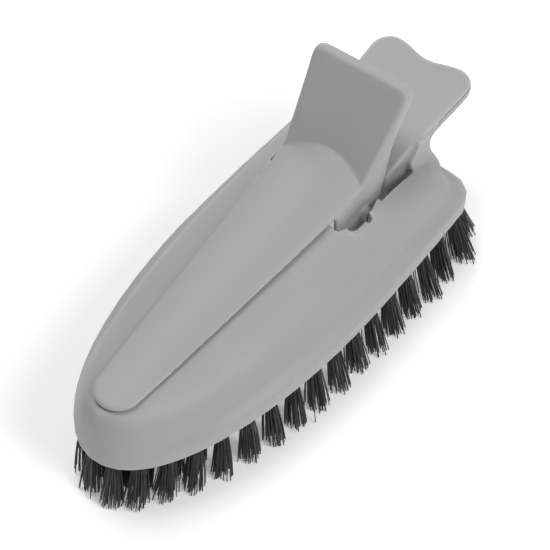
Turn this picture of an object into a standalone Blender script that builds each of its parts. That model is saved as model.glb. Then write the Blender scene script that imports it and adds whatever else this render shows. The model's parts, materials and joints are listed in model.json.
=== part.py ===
"""Clip brush: an iron-shaped scrubbing brush with a sprung clip on its deck.

X runs across the brush, Y from the nose (-Y) to the tail (+Y), and Z up from the floor that the
bristle tips stand on. "Station" means the distance behind the nose of the rim.
"""

import math

import bmesh
import bpy
from mathutils import Matrix, Vector

# Body: planform of the rim
ORIGIN_STATION = 0.1132
BODY_LENGTH = 0.203
BODY_HALF_WIDTH = 0.0454
WIDEST_STATION = 0.120
REAR_NARROWING = 0.0028
REAR_CORNER_RADIUS = 0.012
REAR_BOW = 0.0010
NOSE_POWER = 2.1
NOSE_RUN = 0.060

# Body: heights above the floor
BRISTLE_TRIM = 0.025
RIM_WALL = 0.0057
RIM_ROUND = 0.0016
REAR_RIM_RISE = 0.0014
REAR_RIM_RUN = 0.022
RIM_WIDTH = 0.0094
SHELL_WALL = 0.0028

# Deck land under the tongue
LAND_FRONT_STATION = 0.0046
LAND_REAR_STATION = 0.181
LAND_FRONT_HALF_WIDTH = 0.0108
LAND_FRONT_HEIGHT = 0.0525
LAND_SLOPE = 0.046
LAND_PEAK_STATION = 0.130
LAND_PEAK_RUN = 0.012
REAR_DECK_SLOPE = -0.118

# Inside ribs of the shell
RIB_THICKNESS = 0.0018
RIB_DEPTH = 0.0055
RIB_SPACING = 0.026
FIRST_RIB_STATION = 0.036
CROSS_RIBS = 4

# Deck opening
NOTCH_FRONT_STATION = 0.136
NOTCH_LENGTH = 0.0118
NOTCH_HALF_WIDTH = 0.0274
NOTCH_LEFT_HALF_WIDTH = 0.0226
NOTCH_LEAD_IN = 0.0052
SLOT_HALF_WIDTH = 0.0246
SLOT_REAR_STATION = 0.181
SLOT_REAR_LEAN = 0.0096
SLOT_CORNER = 0.0012

# Neck and tail
NECK_TOP_HALF_WIDTH = 0.0234
SLOT_TOP_OVERLAP = 0.0006
SLOT_TOP_HALF_WIDTH = NECK_TOP_HALF_WIDTH + SLOT_TOP_OVERLAP
NECK_BASE_FLARE = 0.0074
NECK_FRONT_STATION = 0.168
NECK_REAR_STATION = 0.1985
NECK_CORNER = 0.006
NECK_REAR_FLARE = 0.0022
NECK_WALL = 0.0028
NECK_CORE_DROP = 0.0015
NECK_CORE_TOP = LAND_FRONT_HEIGHT - NECK_CORE_DROP
TAIL_END_STATION = 0.2283
TAIL_HALF_WIDTH = 0.0245
TAIL_CREASE_STATION = 0.1975
TAIL_WAIST_DEPTH = 0.0032
TAIL_LOBE_RADIUS = 0.0085
TAIL_RISE = 0.0105
TAIL_TOP_AT_NECK = LAND_FRONT_HEIGHT + TAIL_RISE
TAIL_SLOPE = 0.12
TAIL_THICKNESS = 0.0056
TAIL_EDGE_ROUND = 0.0012
TAIL_DISH = 0.0012
TAIL_LIP = 0.0026
TAIL_SKIN = 0.0028
TAIL_POCKET_FRONT_STATION = 0.2035
SPINE_FRONT_STATION = 0.1700
SPINE_FRONT_HALF_WIDTH = 0.0182
SPINE_REAR_HALF_WIDTH = 0.0234
SPINE_FRONT_DROP = 0.0015
SPINE_FRONT_HEIGHT = LAND_FRONT_HEIGHT - SPINE_FRONT_DROP
SPINE_THICKNESS = 0.0170
SPINE_SKIN = 0.0026
SPINE_CURVE = 1.8
SPINE_TAPER_POWER = 8

# Hinge
HINGE_STATION = 0.151
HINGE_DROP = 0.0040
HINGE_HEIGHT = LAND_FRONT_HEIGHT - HINGE_DROP
PIN_DIAMETER = 0.004
PIN_LENGTH = 0.0550
PIN_CHAMFER = 0.0004
PIN_CLEARANCE = 0.0003
LUG_THICKNESS = 0.0042
LUG_REAR_STATION = 0.1585
LUG_DROP = 0.0055
LUG_GAP = 0.0005

# Clip lever: tongue
TIP_STATION = 0.0071
TIP_RADIUS = 0.0101
TONGUE_ROOT_STATION = 0.150
TONGUE_END_STATION = 0.1565
TONGUE_ROOT_HALF_WIDTH = 0.0202
TIP_EDGE_THICKNESS = 0.0020
ROOT_EDGE_RISE = 0.0117
ROOT_EDGE_HEIGHT = LAND_FRONT_HEIGHT + ROOT_EDGE_RISE
TONGUE_STRAIGHT_SHARE = 0.42
TONGUE_TAPER_POWER = 0.85
TIP_SEAT_SHARE = 0.333
TIP_CROWN = 0.0009
ROOT_CROWN = 0.0062
TONGUE_SKIN = 0.0024
TIP_SEAT_GAP = 0.0003
MID_SEAT_GAP = 0.0013
TONGUE_EDGE_ROUND = 0.0007
TONGUE_POCKET_FRONT_STATION = 0.030
TONGUE_RIB_THICKNESS = 0.0016

# Clip lever: tab, cheeks and knuckles
TAB_FOOT_STATION = 0.1480
TAB_FOOT_RISE = 0.0103
TAB_FOOT_HEIGHT = LAND_FRONT_HEIGHT + TAB_FOOT_RISE
TAB_TOP_STATION = 0.1755
TAB_TOP_RISE = 0.0480
TAB_TOP_HEIGHT = LAND_FRONT_HEIGHT + TAB_TOP_RISE
TAB_TOP_THICKNESS = 0.0076
TAB_TOP_HALF_WIDTH = 0.0240
TAB_WAIST_STATION = 0.1702
TAB_WAIST_RISE = 0.0205
TAB_WAIST_HEIGHT = LAND_FRONT_HEIGHT + TAB_WAIST_RISE
TAB_HIP_STATION = 0.1676
TAB_HIP_RISE = 0.0065
TAB_HIP_HEIGHT = LAND_FRONT_HEIGHT + TAB_HIP_RISE
TAB_HEEL_STATION = 0.1640
TAB_HEEL_DROP = 0.0043
TAB_HEEL_HEIGHT = LAND_FRONT_HEIGHT - TAB_HEEL_DROP
TAB_FACE_HOLLOW = 0.0007
TAB_SKIN = 0.0026
CHEEK_THICKNESS = 0.0024
KNUCKLE_RADIUS = 0.0095
BOSS_RADIUS = 0.0031
TAB_EDGE_ROUND = 0.0013
TAB_CORNER_RADIUS = 0.0034
TAB_CORNER_SHARE = 0.25
KNUCKLE_START_ANGLE = math.radians(-32)
KNUCKLE_END_ANGLE = math.radians(-168)
CHEEK_FRONT_STATION = 0.1328
CHEEK_FRONT_DROP = 0.0005
CHEEK_FRONT_HEIGHT = LAND_FRONT_HEIGHT - CHEEK_FRONT_DROP

# Torsion spring
WIRE_DIAMETER = 0.0014
COIL_RADIUS = 0.0032
LEG_SEAT_GAP = 0.0003
COIL_TURNS = 6
SPRING_TURN_POINTS = 10
COIL_PITCH = 0.0019
TAB_LEG_LENGTH = 0.021
DECK_LEG_LENGTH = 0.019

# Tufts
TUFT_COUNT = 41
NOSE_TUFTS = 8
NOSE_ROW_STEP = 0.0080
NOSE_ROW_FAN = 1.75
TUFT_BOSS_RADIUS = 0.0038
TUFT_INSET = 0.0047
PLUG_RADIUS = 0.0023
HOLE_CLEARANCE = 0.0003
HOLE_DEPTH = 0.0066
PLUG_SLICE = 0.0008
HOLE_TILT = math.radians(5)
TUFT_SPLAY = math.radians(16)
SPLAY_START_STATION = 0.025
SPLAY_FULL_STATION = 0.165
NOSE_LEAN = math.radians(7)
NOSE_LEAN_RUN = 0.130
TUFT_TURN = math.radians(37)
STRANDS_PER_TUFT = 10
INNER_STRANDS = 3
INNER_STRAND_SHARE = 0.36
STRAND_RADIUS = 0.00056
STRAND_BASE_RADIUS = 0.00165
STRAND_FAN = 2.45
TIP_CUT = 0.0005
SHORT_STRAND_CUT = 0.0012

# Shared
OVERRUN = 0.004
RING_POINTS = 80
ROUND_SIDES = 24
PLUG_SIDES = 8
SHARP_ANGLE = math.radians(35)

# Shares of the way from the rim (0) to the land (1): inwards, upwards, and upwards at the nose
DOME_SHARES = (
    (0.035, 0.0, 0.03),
    (0.075, 0.048, 0.14),
    (0.118, 0.080, 0.26),
    (0.165, 0.130, 0.37),
    (0.215, 0.225, 0.47),
    (0.275, 0.355, 0.57),
    (0.345, 0.490, 0.66),
    (0.430, 0.612, 0.74),
    (0.540, 0.710, 0.82),
    (0.690, 0.812, 0.895),
    (0.850, 0.908, 0.955),
    (1.0, 1.0, 1.0),
)
LEAD_IN_SHARES = (0.25, 0.45, 0.65, 0.85, 1.0)
CAVITY_SHARES = ((0.0, 0.22), (0.09, 0.50), (0.22, 0.66), (0.45, 0.79), (0.74, 0.92), (1.0, 1.0))
NECK_FLARE_SHARES = ((0.0, 1.0), (0.09, 0.58), (0.21, 0.28), (0.37, 0.10), (0.60, 0.02), (1.0, 0.0))
TONGUE_STATION_SHARES = (0.12, 0.24, 0.38, 0.52, 0.66, 0.78, 0.88, 0.95, 1.0)
TAB_EDGE_SHARES = (0.0, 0.38, 0.62, 0.78, 0.90, 0.97)
CROWN_SHARES = (-1.0, -0.8, -0.55, -0.28, 0.0, 0.28, 0.55, 0.8, 1.0)
SHORTER_SHARES = (0.9, 0.0, 0.0, 0.4, 0.0, 0.0, 0.6)

PLASTIC_GREY = (0.36, 0.355, 0.345)
STEEL_GREY = (0.62, 0.62, 0.63)
BRISTLE_DARK = (0.028, 0.027, 0.032)


def clear_scene():
    for obj in list(bpy.data.objects):
        bpy.data.objects.remove(obj, do_unlink=True)


def make_material(name, color, roughness, metallic):
    material = bpy.data.materials.new(name)
    material.use_nodes = True
    shader = material.node_tree.nodes["Principled BSDF"]
    shader.inputs["Base Color"].default_value = (*color, 1.0)
    shader.inputs["Roughness"].default_value = roughness
    shader.inputs["Metallic"].default_value = metallic
    return material


def station(distance):
    """World Y of a place that lies this far behind the rim's nose."""
    return distance - ORIGIN_STATION


def blend(start, end, share):
    return start + (end - start) * share


def smooth(share):
    share = min(max(share, 0.0), 1.0)
    return share * share * (3 - 2 * share)


def add_object(name, mesh_data, material=None, origin=(0.0, 0.0, 0.0)):
    """An object from a bmesh; one without a material is a helper that the build leaves out."""
    bmesh.ops.recalc_face_normals(mesh_data, faces=mesh_data.faces)
    bmesh.ops.translate(mesh_data, vec=-Vector(origin), verts=mesh_data.verts)
    mesh = bpy.data.meshes.new(name)
    mesh_data.to_mesh(mesh)
    mesh_data.free()
    obj = bpy.data.objects.new(name, mesh)
    obj.location = origin
    bpy.context.scene.collection.objects.link(obj)
    if material is None:
        obj.hide_render = True
        obj.display_type = "WIRE"
    else:
        mesh.materials.append(material)
        mesh.shade_smooth()
        mesh.set_sharp_from_angle(angle=SHARP_ANGLE)
    return obj


def combine(target, other, operation):
    modifier = target.modifiers.new(operation.lower() + "_" + other.name, "BOOLEAN")
    modifier.operation = operation
    modifier.object = other
    modifier.solver = "EXACT"


def round_edges(obj, width, segments):
    modifier = obj.modifiers.new("round_edges", "BEVEL")
    modifier.width = width
    modifier.segments = segments
    modifier.limit_method = "ANGLE"
    modifier.angle_limit = SHARP_ANGLE


def skin_rings(mesh_data, rings):
    """Quads between closed rings of equal length; returns the rings' vertices."""
    rows = [[mesh_data.verts.new(point) for point in ring] for ring in rings]
    count = len(rows[0])
    for low, high in zip(rows, rows[1:]):
        for i in range(count):
            j = (i + 1) % count
            mesh_data.faces.new((low[i], low[j], high[j], high[i]))
    return rows


def cap_across(mesh_data, row):
    """Closes a ring that is the same left and right with strips that run across it."""
    count = len(row)
    for i in range(count // 2 - 1):
        corners = (row[i], row[i + 1], row[count - 1 - i - 1], row[count - 1 - i])
        mesh_data.faces.new(corners)


def prism(points, low, high, axis="X"):
    """A bmesh of an outline extruded along X or Z, from low to high."""
    mesh_data = bmesh.new()

    def place(a, b, c):
        return (c, a, b) if axis == "X" else (a, b, c)

    rows = [[mesh_data.verts.new(place(a, b, c)) for a, b in points] for c in (low, high)]
    mesh_data.faces.new(rows[0][::-1])
    mesh_data.faces.new(rows[1])
    for i in range(len(points)):
        j = (i + 1) % len(points)
        mesh_data.faces.new((rows[0][i], rows[0][j], rows[1][j], rows[1][i]))
    return mesh_data


def add_box(mesh_data, low, high):
    made = bmesh.ops.create_cube(mesh_data, size=1.0)
    size = [b - a for a, b in zip(low, high)]
    centre = [(a + b) / 2 for a, b in zip(low, high)]
    bmesh.ops.scale(mesh_data, vec=size, verts=made["verts"])
    bmesh.ops.translate(mesh_data, vec=centre, verts=made["verts"])
    return made["verts"]


def add_rod(mesh_data, radius, low, high, y, z, sides=ROUND_SIDES):
    """A round rod along X between low and high."""
    turn = Matrix.Rotation(math.pi / 2, 4, "Y")
    centre = Matrix.Translation(((low + high) / 2, y, z))
    bmesh.ops.create_cone(
        mesh_data,
        cap_ends=True,
        segments=sides,
        radius1=radius,
        radius2=radius,
        depth=high - low,
        matrix=centre @ turn,
    )


def body_half_width(distance):
    """Half width of the rim, without its rear corners."""
    if distance < WIDEST_STATION:
        left = 1 - max(distance, 0.0) / WIDEST_STATION
        return BODY_HALF_WIDTH * (1 - left * left) ** (1 / NOSE_POWER)
    past = (distance - WIDEST_STATION) / (BODY_LENGTH - WIDEST_STATION)
    return BODY_HALF_WIDTH - REAR_NARROWING * past * past


def rim_half_outline():
    """Right half of the rim, from the nose to the middle of the rear, as dense points."""
    steps = 400
    corner_start = BODY_LENGTH - REAR_CORNER_RADIUS
    points = []
    for i in range(steps + 1):
        distance = corner_start * (i / steps) ** 2
        points.append((body_half_width(distance), distance))
    centre = body_half_width(corner_start) - REAR_CORNER_RADIUS
    for i in range(1, steps // 4 + 1):
        angle = math.pi / 2 * i / (steps // 4)
        across = centre + REAR_CORNER_RADIUS * math.cos(angle)
        points.append((across, corner_start + REAR_CORNER_RADIUS * math.sin(angle)))
    return points + bowed_rear(centre, BODY_LENGTH)


def bowed_rear(corner, end):
    """The rear edge from a corner to its middle, which stands out by the bow."""
    steps = 12
    points = []
    for i in range(1, steps + 1):
        across = corner * (1 - i / steps)
        points.append((across, end + REAR_BOW * (1 - (across / corner) ** 2)))
    return points


def land_half_outline():
    """Right half of the land that the tongue lies on, and of the deck's crest behind it."""
    steps = 200
    points = []
    for i in range(steps // 2 + 1):
        angle = math.pi / 2 * i / (steps // 2)
        along = LAND_FRONT_STATION + LAND_FRONT_HALF_WIDTH * (1 - math.cos(angle))
        points.append((LAND_FRONT_HALF_WIDTH * math.sin(angle), along))
    start = LAND_FRONT_STATION + LAND_FRONT_HALF_WIDTH
    radius = REAR_CORNER_RADIUS
    end = LAND_REAR_STATION - radius
    for i in range(1, steps + 1):
        along = blend(start, end, i / steps)
        points.append((land_half_width(along), along))
    centre = land_half_width(end) - radius
    for i in range(1, steps // 4 + 1):
        angle = math.pi / 2 * i / (steps // 4)
        points.append((centre + radius * math.cos(angle), end + radius * math.sin(angle)))
    return points + bowed_rear(centre, LAND_REAR_STATION)


def land_half_width(along):
    """The land is a little wider than the tongue that lies on it."""
    start = LAND_FRONT_STATION + LAND_FRONT_HALF_WIDTH
    share = (along - start) / (TONGUE_ROOT_STATION - start)
    return blend(LAND_FRONT_HALF_WIDTH, TONGUE_ROOT_HALF_WIDTH, min(max(share, 0.0), 1.0))


def at_lengths(points, shares):
    """Places at these shares of a polyline's length, with the outward normal of each."""
    lengths = [0.0]
    for a, b in zip(points, points[1:]):
        lengths.append(lengths[-1] + math.dist(a, b))
    found = []
    k = 0
    for share in shares:
        goal = share * lengths[-1]
        while k < len(points) - 2 and lengths[k + 1] < goal:
            k += 1
        a, b = Vector(points[k]), Vector(points[k + 1])
        place = a.lerp(b, (goal - lengths[k]) / max(lengths[k + 1] - lengths[k], 1e-9))
        run = (b - a).normalized()
        found.append((place, Vector((run.y, -run.x))))
    return found


def closed_ring(half_points, inset=0.0):
    """RING_POINTS places round a closed outline, from the nose by the right side, left mirrored."""
    half = RING_POINTS // 2
    shares = [(i + 0.5) / half for i in range(half)]
    right = [place - normal * inset for place, normal in at_lengths(half_points, shares)]
    left = [Vector((-point.x, point.y)) for point in reversed(right)]
    return right + left


def land_height(distance):
    """Height of the land, which rises to a crest near the hinge and falls behind it."""
    rise = LAND_FRONT_HEIGHT + LAND_SLOPE * distance
    past = distance - LAND_PEAK_STATION
    if past <= 0:
        return rise
    crest = LAND_FRONT_HEIGHT + LAND_SLOPE * LAND_PEAK_STATION
    turned = min(past / LAND_PEAK_RUN, 1.0)
    slope = blend(LAND_SLOPE, REAR_DECK_SLOPE, turned / 2)
    if turned < 1.0:
        return crest + slope * past
    return crest + slope * LAND_PEAK_RUN + REAR_DECK_SLOPE * (past - LAND_PEAK_RUN)


def rim_top(distance):
    """Height where the rim's wall ends and its rounded edge starts."""
    rise = smooth((distance - BODY_LENGTH + REAR_RIM_RUN) / REAR_RIM_RUN)
    return BRISTLE_TRIM + RIM_WALL + REAR_RIM_RISE * rise


def hull_bmesh():
    """The outside of the body: rim wall, rounded edge, cove, dome and land."""
    rim = closed_ring(rim_half_outline())
    land = closed_ring(land_half_outline())
    rings = [
        [(p.x, station(p.y), BRISTLE_TRIM) for p in rim],
        [(p.x, station(p.y), rim_top(p.y)) for p in rim],
    ]
    for inwards, upwards, nose_upwards in DOME_SHARES:
        ring = []
        for a, b in zip(rim, land):
            place = a.lerp(b, inwards)
            low = rim_top(a.y) + RIM_ROUND
            share = blend(nose_upwards, upwards, smooth(a.y / NOSE_RUN))
            ring.append((place.x, station(place.y), blend(low, land_height(b.y), share)))
        rings.append(ring)
    mesh_data = bmesh.new()
    rows = skin_rings(mesh_data, rings)
    mesh_data.faces.new(rows[0])
    cap_across(mesh_data, rows[-1])
    return mesh_data


def cavity_bmesh():
    """The hollow under the deck, open between the tufts."""
    rim = closed_ring(rim_half_outline(), RIM_WIDTH)
    land = closed_ring(land_half_outline(), SHELL_WALL / 2)
    rings = [[(p.x, station(p.y), BRISTLE_TRIM - OVERRUN) for p in rim]]
    for inwards, upwards in CAVITY_SHARES:
        ring = []
        for a, b in zip(rim, land):
            place = a.lerp(b, inwards)
            low = rim_top(a.y) + RIM_ROUND
            height = blend(low, land_height(b.y), upwards) - SHELL_WALL
            ring.append((place.x, station(place.y), height))
        rings.append(ring)
    mesh_data = bmesh.new()
    rows = skin_rings(mesh_data, rings)
    mesh_data.faces.new(rows[0])
    cap_across(mesh_data, rows[-1])
    return mesh_data


def rib_blocks():
    """Blocks that stay solid in the hollow: cross ribs under the land, and the hinge lugs."""
    mesh_data = bmesh.new()
    for i in range(CROSS_RIBS):
        middle = FIRST_RIB_STATION + RIB_SPACING * i
        low = land_height(middle) - SHELL_WALL - RIB_DEPTH
        front = station(middle - RIB_THICKNESS / 2)
        back = station(middle + RIB_THICKNESS / 2)
        corner = (BODY_HALF_WIDTH, back, land_height(middle) + OVERRUN)
        add_box(mesh_data, (-BODY_HALF_WIDTH, front, low), corner)
    for side in (-1, 1):
        inner = side * SLOT_HALF_WIDTH
        outer = side * (SLOT_HALF_WIDTH + LUG_THICKNESS)
        front = NOTCH_FRONT_STATION + NOTCH_LENGTH - SLOT_CORNER
        low = (min(inner, outer), station(front), HINGE_HEIGHT - LUG_DROP)
        top = HINGE_HEIGHT + LUG_DROP + OVERRUN
        high = (max(inner, outer), station(LUG_REAR_STATION), top)
        add_box(mesh_data, low, high)
    return mesh_data


def tuft_bosses_bmesh():
    """Round bosses that hang from the deck and hold the second row of tufts at the nose."""
    mesh_data = bmesh.new()
    low = BRISTLE_TRIM - OVERRUN * 2
    high = LAND_FRONT_HEIGHT + OVERRUN * 2
    for spot, _ in tuft_places()[TUFT_COUNT:]:
        bmesh.ops.create_cone(
            mesh_data,
            cap_ends=True,
            segments=ROUND_SIDES,
            radius1=TUFT_BOSS_RADIUS,
            radius2=TUFT_BOSS_RADIUS,
            depth=high - low,
            matrix=Matrix.Translation((spot.x, spot.y, (low + high) / 2)),
        )
    return mesh_data


def neck_bmesh():
    """The neck: a post that flares by concave fillets into the deck, and carries the tail."""
    low = land_height(LAND_REAR_STATION) - REAR_CORNER_RADIUS
    high = TAIL_TOP_AT_NECK - TAIL_THICKNESS / 2
    rings = []
    for upwards, flare in NECK_FLARE_SHARES:
        half = NECK_TOP_HALF_WIDTH + NECK_BASE_FLARE * flare
        rear = NECK_REAR_STATION + NECK_REAR_FLARE * flare
        height = blend(low, high, upwards)
        rings.append(rounded_rectangle(half, NECK_FRONT_STATION, rear, NECK_CORNER, height))
    mesh_data = bmesh.new()
    rows = skin_rings(mesh_data, rings)
    mesh_data.faces.new(rows[0][::-1])
    mesh_data.faces.new(rows[-1])
    return mesh_data


def rounded_rectangle(half, front, rear, radius, height, corner_steps=5):
    """A ring of points round a rectangle with round corners, at one height."""
    corners = (
        (half - radius, rear - radius, 0.0),
        (-half + radius, rear - radius, math.pi / 2),
        (-half + radius, front + radius, math.pi),
        (half - radius, front + radius, 1.5 * math.pi),
    )
    ring = []
    for across, along, turn in corners:
        for i in range(corner_steps + 1):
            angle = turn + math.pi / 2 * i / corner_steps
            x = across + radius * math.cos(angle)
            y = station(along + radius * math.sin(angle))
            ring.append((x, y, height))
    return ring


def opening_bmesh():
    """Cutter of the deck opening: the slot, whose rear end leans back up the neck."""
    low = HINGE_HEIGHT - LUG_DROP - OVERRUN
    high = TAIL_TOP_AT_NECK + OVERRUN
    base = land_height(SLOT_REAR_STATION)
    slot_front = NOTCH_FRONT_STATION + NOTCH_LENGTH - SLOT_CORNER
    rings = []
    for height in (low, base, high):
        up = max(height - base, 0.0) / (TAIL_TOP_AT_NECK - base)
        half = blend(SLOT_HALF_WIDTH, SLOT_TOP_HALF_WIDTH, up)
        rear = SLOT_REAR_STATION + SLOT_REAR_LEAN * up
        rings.append(rounded_rectangle(half, slot_front, rear, SLOT_CORNER, height, 3))
    mesh_data = bmesh.new()
    rows = skin_rings(mesh_data, rings)
    mesh_data.faces.new(rows[0][::-1])
    mesh_data.faces.new(rows[-1])
    return mesh_data


def notch_bmesh():
    """Cutter of the wider notch that the hinge pin drops in by, with a lead-in by the tongue."""
    low = HINGE_HEIGHT - LUG_DROP - OVERRUN
    high = TAIL_TOP_AT_NECK + OVERRUN
    front = station(NOTCH_FRONT_STATION)
    rear = station(NOTCH_FRONT_STATION + NOTCH_LENGTH)
    outline = []
    for side, half in ((1, NOTCH_HALF_WIDTH), (-1, NOTCH_LEFT_HALF_WIDTH)):
        edge = [(half, rear), (half, front + SLOT_CORNER), (half - SLOT_CORNER, front)]
        reach = half - SLOT_CORNER - TONGUE_ROOT_HALF_WIDTH - LUG_GAP
        for share in LEAD_IN_SHARES:
            along = front - NOTCH_LEAD_IN * smooth(share)
            edge.append((half - SLOT_CORNER - reach * share, along))
        edge = [(side * x, y) for x, y in edge]
        outline += edge if side > 0 else edge[::-1]
    return prism(outline, low, high, "Z")


def handle_half_width(distance):
    """Half width of the handle plate: a narrow spine in the opening, wider out to the tail."""
    if distance < NECK_REAR_STATION:
        share = (distance - SPINE_FRONT_STATION) / (NECK_REAR_STATION - SPINE_FRONT_STATION)
        return blend(SPINE_FRONT_HALF_WIDTH, SPINE_REAR_HALF_WIDTH, share)
    lobe_start = TAIL_END_STATION - TAIL_LOBE_RADIUS
    share = (distance - NECK_REAR_STATION) / (lobe_start - NECK_REAR_STATION)
    return blend(SPINE_REAR_HALF_WIDTH, TAIL_HALF_WIDTH, smooth(share))


def handle_top(distance):
    """Height of the handle plate's upper side: a straight tail, and a spine that falls forwards."""
    past = distance - TAIL_CREASE_STATION
    height = TAIL_TOP_AT_NECK + TAIL_SLOPE * (distance - NECK_REAR_STATION)
    if past >= 0:
        return height
    fall = TAIL_TOP_AT_NECK - SPINE_FRONT_HEIGHT
    run = TAIL_CREASE_STATION - SPINE_FRONT_STATION
    share = -past / run
    return height - (fall - TAIL_SLOPE * run) * share ** SPINE_CURVE


def handle_thickness(distance):
    """The spine is deeper than the tail."""
    share = (distance - SPINE_FRONT_STATION) / (NECK_REAR_STATION - SPINE_FRONT_STATION)
    return blend(SPINE_THICKNESS, TAIL_THICKNESS, smooth(share) ** SPINE_TAPER_POWER)


def straight_sides(inset, front, rear, steps):
    """Right side of a stretch of the handle plate."""
    points = []
    for i in range(steps + 1):
        along = blend(front, rear, i / steps)
        points.append((handle_half_width(along) - inset, along))
    return points


def tail_end(inset):
    """Right half of the tail's end: a round lobe, then the hollow waist to the middle."""
    end = TAIL_END_STATION - inset
    radius = TAIL_LOBE_RADIUS - inset / 2
    half = TAIL_HALF_WIDTH - inset
    points = []
    steps = 6
    for i in range(1, steps + 1):
        angle = math.pi / 2 * i / steps
        across = half - radius + radius * math.cos(angle)
        points.append((across, end - radius + radius * math.sin(angle)))
    for i in range(1, steps + 1):
        across = (half - radius) * (1 - i / steps)
        points.append((across, end - TAIL_WAIST_DEPTH * smooth(i / steps)))
    return points


def handle_slab(right, drops, dish):
    """A closed slab that follows the handle's upper side, from its right half outline."""
    outline = right + [(-x, y) for x, y in reversed(right[:-1])]
    mesh_data = bmesh.new()
    layers = []
    for drop in drops:
        row = []
        for across, along in outline:
            height = handle_top(along) - (handle_thickness(along) if drop is None else drop)
            row.append(mesh_data.verts.new((across, station(along), height)))
        layers.append(row)
    cap_to_middle(mesh_data, layers[0], dish)
    cap_to_middle(mesh_data, layers[1], 0.0)
    for i in range(len(outline)):
        j = (i + 1) % len(outline)
        mesh_data.faces.new((layers[0][i], layers[0][j], layers[1][j], layers[1][i]))
    return mesh_data


def cap_to_middle(mesh_data, row, dish):
    """Closes a mirrored ring, whose middle point is shared, by a row of points down its middle."""
    count = len(row)
    last = count // 2
    ends = (row[0].co.y, row[last].co.y)
    right = [row[i].co.copy() for i in range(last + 1)]
    middles = [None]
    for i in range(1, last):
        goal = blend(ends[0], ends[1], i / last)
        height = height_along(right, goal) - dish * 4 * (i / last) * (1 - i / last)
        middles.append(mesh_data.verts.new((0.0, goal, height)))
    mesh_data.faces.new((row[0], row[1], middles[1], row[count - 2], row[count - 1]))
    for i in range(1, last - 1):
        mesh_data.faces.new((row[i], row[i + 1], middles[i + 1], middles[i]))
        left, next_left = row[count - 1 - i], row[count - 2 - i]
        mesh_data.faces.new((left, middles[i], middles[i + 1], next_left))
    mesh_data.faces.new((row[last - 1], row[last], middles[-1]))
    mesh_data.faces.new((row[last], row[last + 1], middles[-1]))


def height_along(points, goal):
    """Height of the outline where it first reaches this Y."""
    for a, b in zip(points, points[1:]):
        if a.y <= goal <= b.y and b.y > a.y:
            return blend(a.z, b.z, (goal - a.y) / (b.y - a.y))
    return points[-1].z


def handle_bmesh():
    """The spine in the opening and the tail plate behind the neck, as one plate."""
    lobe_start = TAIL_END_STATION - TAIL_LOBE_RADIUS
    spine = straight_sides(0.0, SPINE_FRONT_STATION, NECK_REAR_STATION, 8)
    tail = straight_sides(0.0, NECK_REAR_STATION, lobe_start, 4)
    return handle_slab(spine + tail[1:] + tail_end(0.0), (0.0, None), TAIL_DISH)


def tail_pocket_bmesh():
    """The hollow under the tail plate, inside its lip."""
    lobe_start = TAIL_END_STATION - TAIL_LOBE_RADIUS
    front = TAIL_POCKET_FRONT_STATION
    right = straight_sides(TAIL_LIP, front, lobe_start, 3) + tail_end(TAIL_LIP)
    return handle_slab(right, (TAIL_SKIN, TAIL_THICKNESS + OVERRUN), 0.0)


def spine_pocket_bmesh():
    """The hollow under the spine, between its side lips."""
    front = SPINE_FRONT_STATION + SPINE_SKIN
    rear = NECK_REAR_STATION - NECK_WALL - SLOT_CORNER
    right = straight_sides(SPINE_SKIN, front, rear, 6) + [(0.0, rear)]
    return handle_slab(right, (SPINE_SKIN, SPINE_THICKNESS + OVERRUN), 0.0)


def tuft_places():
    """Each tuft's hole: where its mouth is, and which way is out. One row runs all round the rim,
    and a second short row stands inside it at the nose, between the tufts of the first."""
    marks = []
    for i in range(TUFT_COUNT):
        share = (i + 0.5) / TUFT_COUNT * 2
        side = 1 if share <= 1 else -1
        marks.append((side, share if side > 0 else 2 - share, TUFT_INSET))
    for i in range(1, NOSE_TUFTS // 2 + 1):
        for side in (1, -1):
            marks.append((side, i / TUFT_COUNT * 2, TUFT_INSET + NOSE_ROW_STEP))
    half_points = rim_half_outline()
    places = []
    for side, share, inset in marks:
        place, normal = at_lengths(half_points, (share,))[0]
        inner = place - normal * inset
        spot = Vector((side * inner.x, station(inner.y), BRISTLE_TRIM))
        places.append((spot, Vector((side * normal.x, normal.y, 0.0))))
    return places


def tuft_axis(spot, out):
    """Unit vector down a tuft: it splays outwards more and more to the rear, and leans forwards
    at the nose."""
    along = spot.y + ORIGIN_STATION
    run = SPLAY_FULL_STATION - SPLAY_START_STATION
    splay = TUFT_SPLAY * min(max((along - SPLAY_START_STATION) / run, 0.0), 1.0)
    forward = NOSE_LEAN * (1 - smooth(along / NOSE_LEAN_RUN))
    lean = out * math.tan(splay) - Vector((0, math.tan(forward), 0))
    return (lean - Vector((0, 0, 1))).normalized()


def hole_frame(spot, out):
    """Matrix whose Z axis runs into the body along the hole, with its origin at the mouth."""
    up = Vector((0, 0, math.cos(HOLE_TILT))) - out * math.sin(HOLE_TILT)
    side = out.cross(up).normalized()
    front = up.cross(side)
    turn = Matrix((front, side, up)).transposed().to_4x4()
    return Matrix.Translation(spot) @ turn


def tuft_holes_bmesh():
    mesh_data = bmesh.new()
    radius = PLUG_RADIUS + HOLE_CLEARANCE
    for spot, out in tuft_places():
        frame = hole_frame(spot, out)
        middle = Matrix.Translation((0, 0, (HOLE_DEPTH - OVERRUN) / 2))
        bmesh.ops.create_cone(
            mesh_data,
            cap_ends=True,
            segments=PLUG_SIDES,
            radius1=radius,
            radius2=radius,
            depth=HOLE_DEPTH + OVERRUN,
            matrix=frame @ middle,
        )
    return mesh_data


def add_pin_bores(target, radius, low, high, name):
    mesh_data = bmesh.new()
    add_rod(mesh_data, radius, low, high, station(HINGE_STATION), HINGE_HEIGHT)
    combine(target, add_object(name, mesh_data), "DIFFERENCE")


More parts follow.
